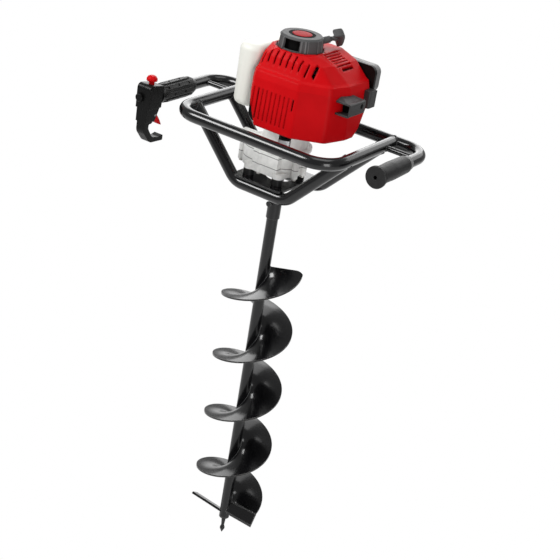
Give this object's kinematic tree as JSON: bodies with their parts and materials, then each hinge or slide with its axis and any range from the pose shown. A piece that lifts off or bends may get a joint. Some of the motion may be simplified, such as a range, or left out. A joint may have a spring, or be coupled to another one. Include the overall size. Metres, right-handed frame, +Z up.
{
  "type": "one-man petrol earth auger",
  "caption": "Hand-held petrol earth auger: engine and reduction gearbox in a tubular handle frame, driving a spiral bit with a forked cutting head and a pilot point.",
  "frame": {"origin": "tip of the pilot point, on the drive axis", "axes": "+Z up along the drive axis from the pilot point to the starter; +X along the crossbar, from the throttle handle to the plain grip, with the cylinder on the +X side; the operator stands on the -Y side"},
  "size_m": [0.5056, 0.242, 1.1097],
  "materials": {
    "red_plastic": "gloss",
    "frame_paint": "gloss",
    "bit_paint": "gloss",
    "cast_alloy": "satin",
    "steel": "satin",
    "zinc": "satin",
    "bronze": "satin",
    "rubber_black": "matte",
    "dark_plastic": "satin",
    "grey_plastic": "satin",
    "tank_plastic": "satin",
    "iron": "matte",
    "rope_fibre": "matte"
  },
  "bodies": {
    "machine": {"handlebar_tube": "frame_paint", "front_loop_tube": "frame_paint", "cradle_tubes": "frame_paint", "handle_braces": "frame_paint", "engine_plate": "frame_paint", "right_grip": "rubber_black", "right_grip_collar": "grey_plastic", "left_grip": "rubber_black", "throttle_housing_inner": "dark_plastic", "throttle_housing_outer": "dark_plastic", "trigger_pin": "steel", "gear_case_lower": "cast_alloy", "gear_case_middle": "cast_alloy", "gear_case_upper": "cast_alloy", "gear_case_bearings": "bronze", "gear_case_bolts": "zinc", "rubber_mounts": "rubber_black", "clutch_housing": "cast_alloy", "crankcase": "cast_alloy", "crank_bearings": "steel", "cylinder": "cast_alloy", "spark_plug": "zinc", "plug_boot": "rubber_black", "muffler": "iron", "fan_housing": "dark_plastic", "ignition_coil": "dark_plastic", "engine_cover": "red_plastic", "starter_cover": "dark_plastic", "starter_badge": "dark_plastic", "fuel_tank": "tank_plastic", "tank_bracket": "dark_plastic", "carburettor": "cast_alloy", "air_filter_base": "dark_plastic", "air_filter_cover": "dark_plastic", "intake_snorkel": "dark_plastic", "plug_cover": "dark_plastic"},
    "bit": {"auger_shaft": "bit_paint", "coupling_socket": "bit_paint", "coupling_pin": "zinc", "auger_flight": "bit_paint", "cutter_blade": "bit_paint", "fishtail_blade": "bit_paint", "pilot_point": "bit_paint", "output_shaft": "steel", "output_gear": "steel"},
    "layshaft": {"layshaft": "steel", "layshaft_gear": "steel"},
    "clutch_drum": {"drum_pinion": "steel", "clutch_drum": "steel"},
    "crank": {"crankshaft": "steel", "flywheel": "cast_alloy", "clutch_shoes": "iron"},
    "starter_pulley": {"starter_pulley": "grey_plastic"},
    "pull_handle": {"starter_handle": "dark_plastic", "starter_rope": "rope_fibre"},
    "trigger": {"throttle_trigger": "red_plastic"},
    "stop_button": {"stop_button": "red_plastic"},
    "lock_button": {"throttle_lock_button": "dark_plastic"},
    "fuel_cap": {"fuel_cap": "dark_plastic"},
    "choke_lever": {"choke_lever": "dark_plastic"}
  },
  "joints": [
    {"name": "bit_spin", "type": "hinge", "parent": "machine", "child": "bit", "pos_m": [0, 0, 0.4], "axis": [0, 0, 1], "continuous": true},
    {"name": "layshaft_spin", "type": "hinge", "parent": "machine", "child": "layshaft", "pos_m": [-0.04, 0, 0.86], "axis": [0, 0, 1], "continuous": true},
    {"name": "drum_spin", "type": "hinge", "parent": "machine", "child": "clutch_drum", "pos_m": [0, 0, 0.88], "axis": [0, 0, 1], "continuous": true},
    {"name": "crank_spin", "type": "hinge", "parent": "machine", "child": "crank", "pos_m": [0, 0, 0.97], "axis": [0, 0, 1], "continuous": true},
    {"name": "pulley_spin", "type": "hinge", "parent": "machine", "child": "starter_pulley", "pos_m": [0, 0, 1.084], "axis": [0, 0, 1], "range_deg": [0, 620], "stiffness_Nm_per_rad": 0.008, "springref_deg": -171.89},
    {"name": "handle_pull", "type": "slide", "parent": "machine", "child": "pull_handle", "axis": [0.6194, 0.7382, 0.2672], "range_m": [0, 0.25]},
    {"name": "trigger_pull", "type": "hinge", "parent": "machine", "child": "trigger", "pos_m": [-0.234, -0.099, 0.896], "axis": [1, 0, 0], "range_deg": [0, 18], "stiffness_Nm_per_rad": 0.4, "springref_deg": -8.59},
    {"name": "stop_push", "type": "slide", "parent": "machine", "child": "stop_button", "axis": [0, 0, -1], "range_m": [0, 0.003], "stiffness_N_per_m": 500, "springref_m": -0.003},
    {"name": "lock_push", "type": "slide", "parent": "machine", "child": "lock_button", "axis": [0, 1, 0], "range_m": [0, 0.003], "stiffness_N_per_m": 400, "springref_m": -0.003},
    {"name": "fuel_cap_turn", "type": "hinge", "parent": "machine", "child": "fuel_cap", "pos_m": [-0.1, 0.024, 1.033], "axis": [-1, 0, 0], "range_deg": [0, 120]},
    {"name": "choke_turn", "type": "hinge", "parent": "machine", "child": "choke_lever", "pos_m": [0.024, 0.081, 0.994], "axis": [0, 1, 0], "range_deg": [0, 60]}
  ],
  "couplings": [
    {"joint": "layshaft_spin", "follows": "bit_spin", "ratio": -3},
    {"joint": "drum_spin", "follows": "bit_spin", "ratio": 9},
    {"joint": "handle_pull", "follows": "pulley_spin", "m_per_rad": 0.023}
  ]
}
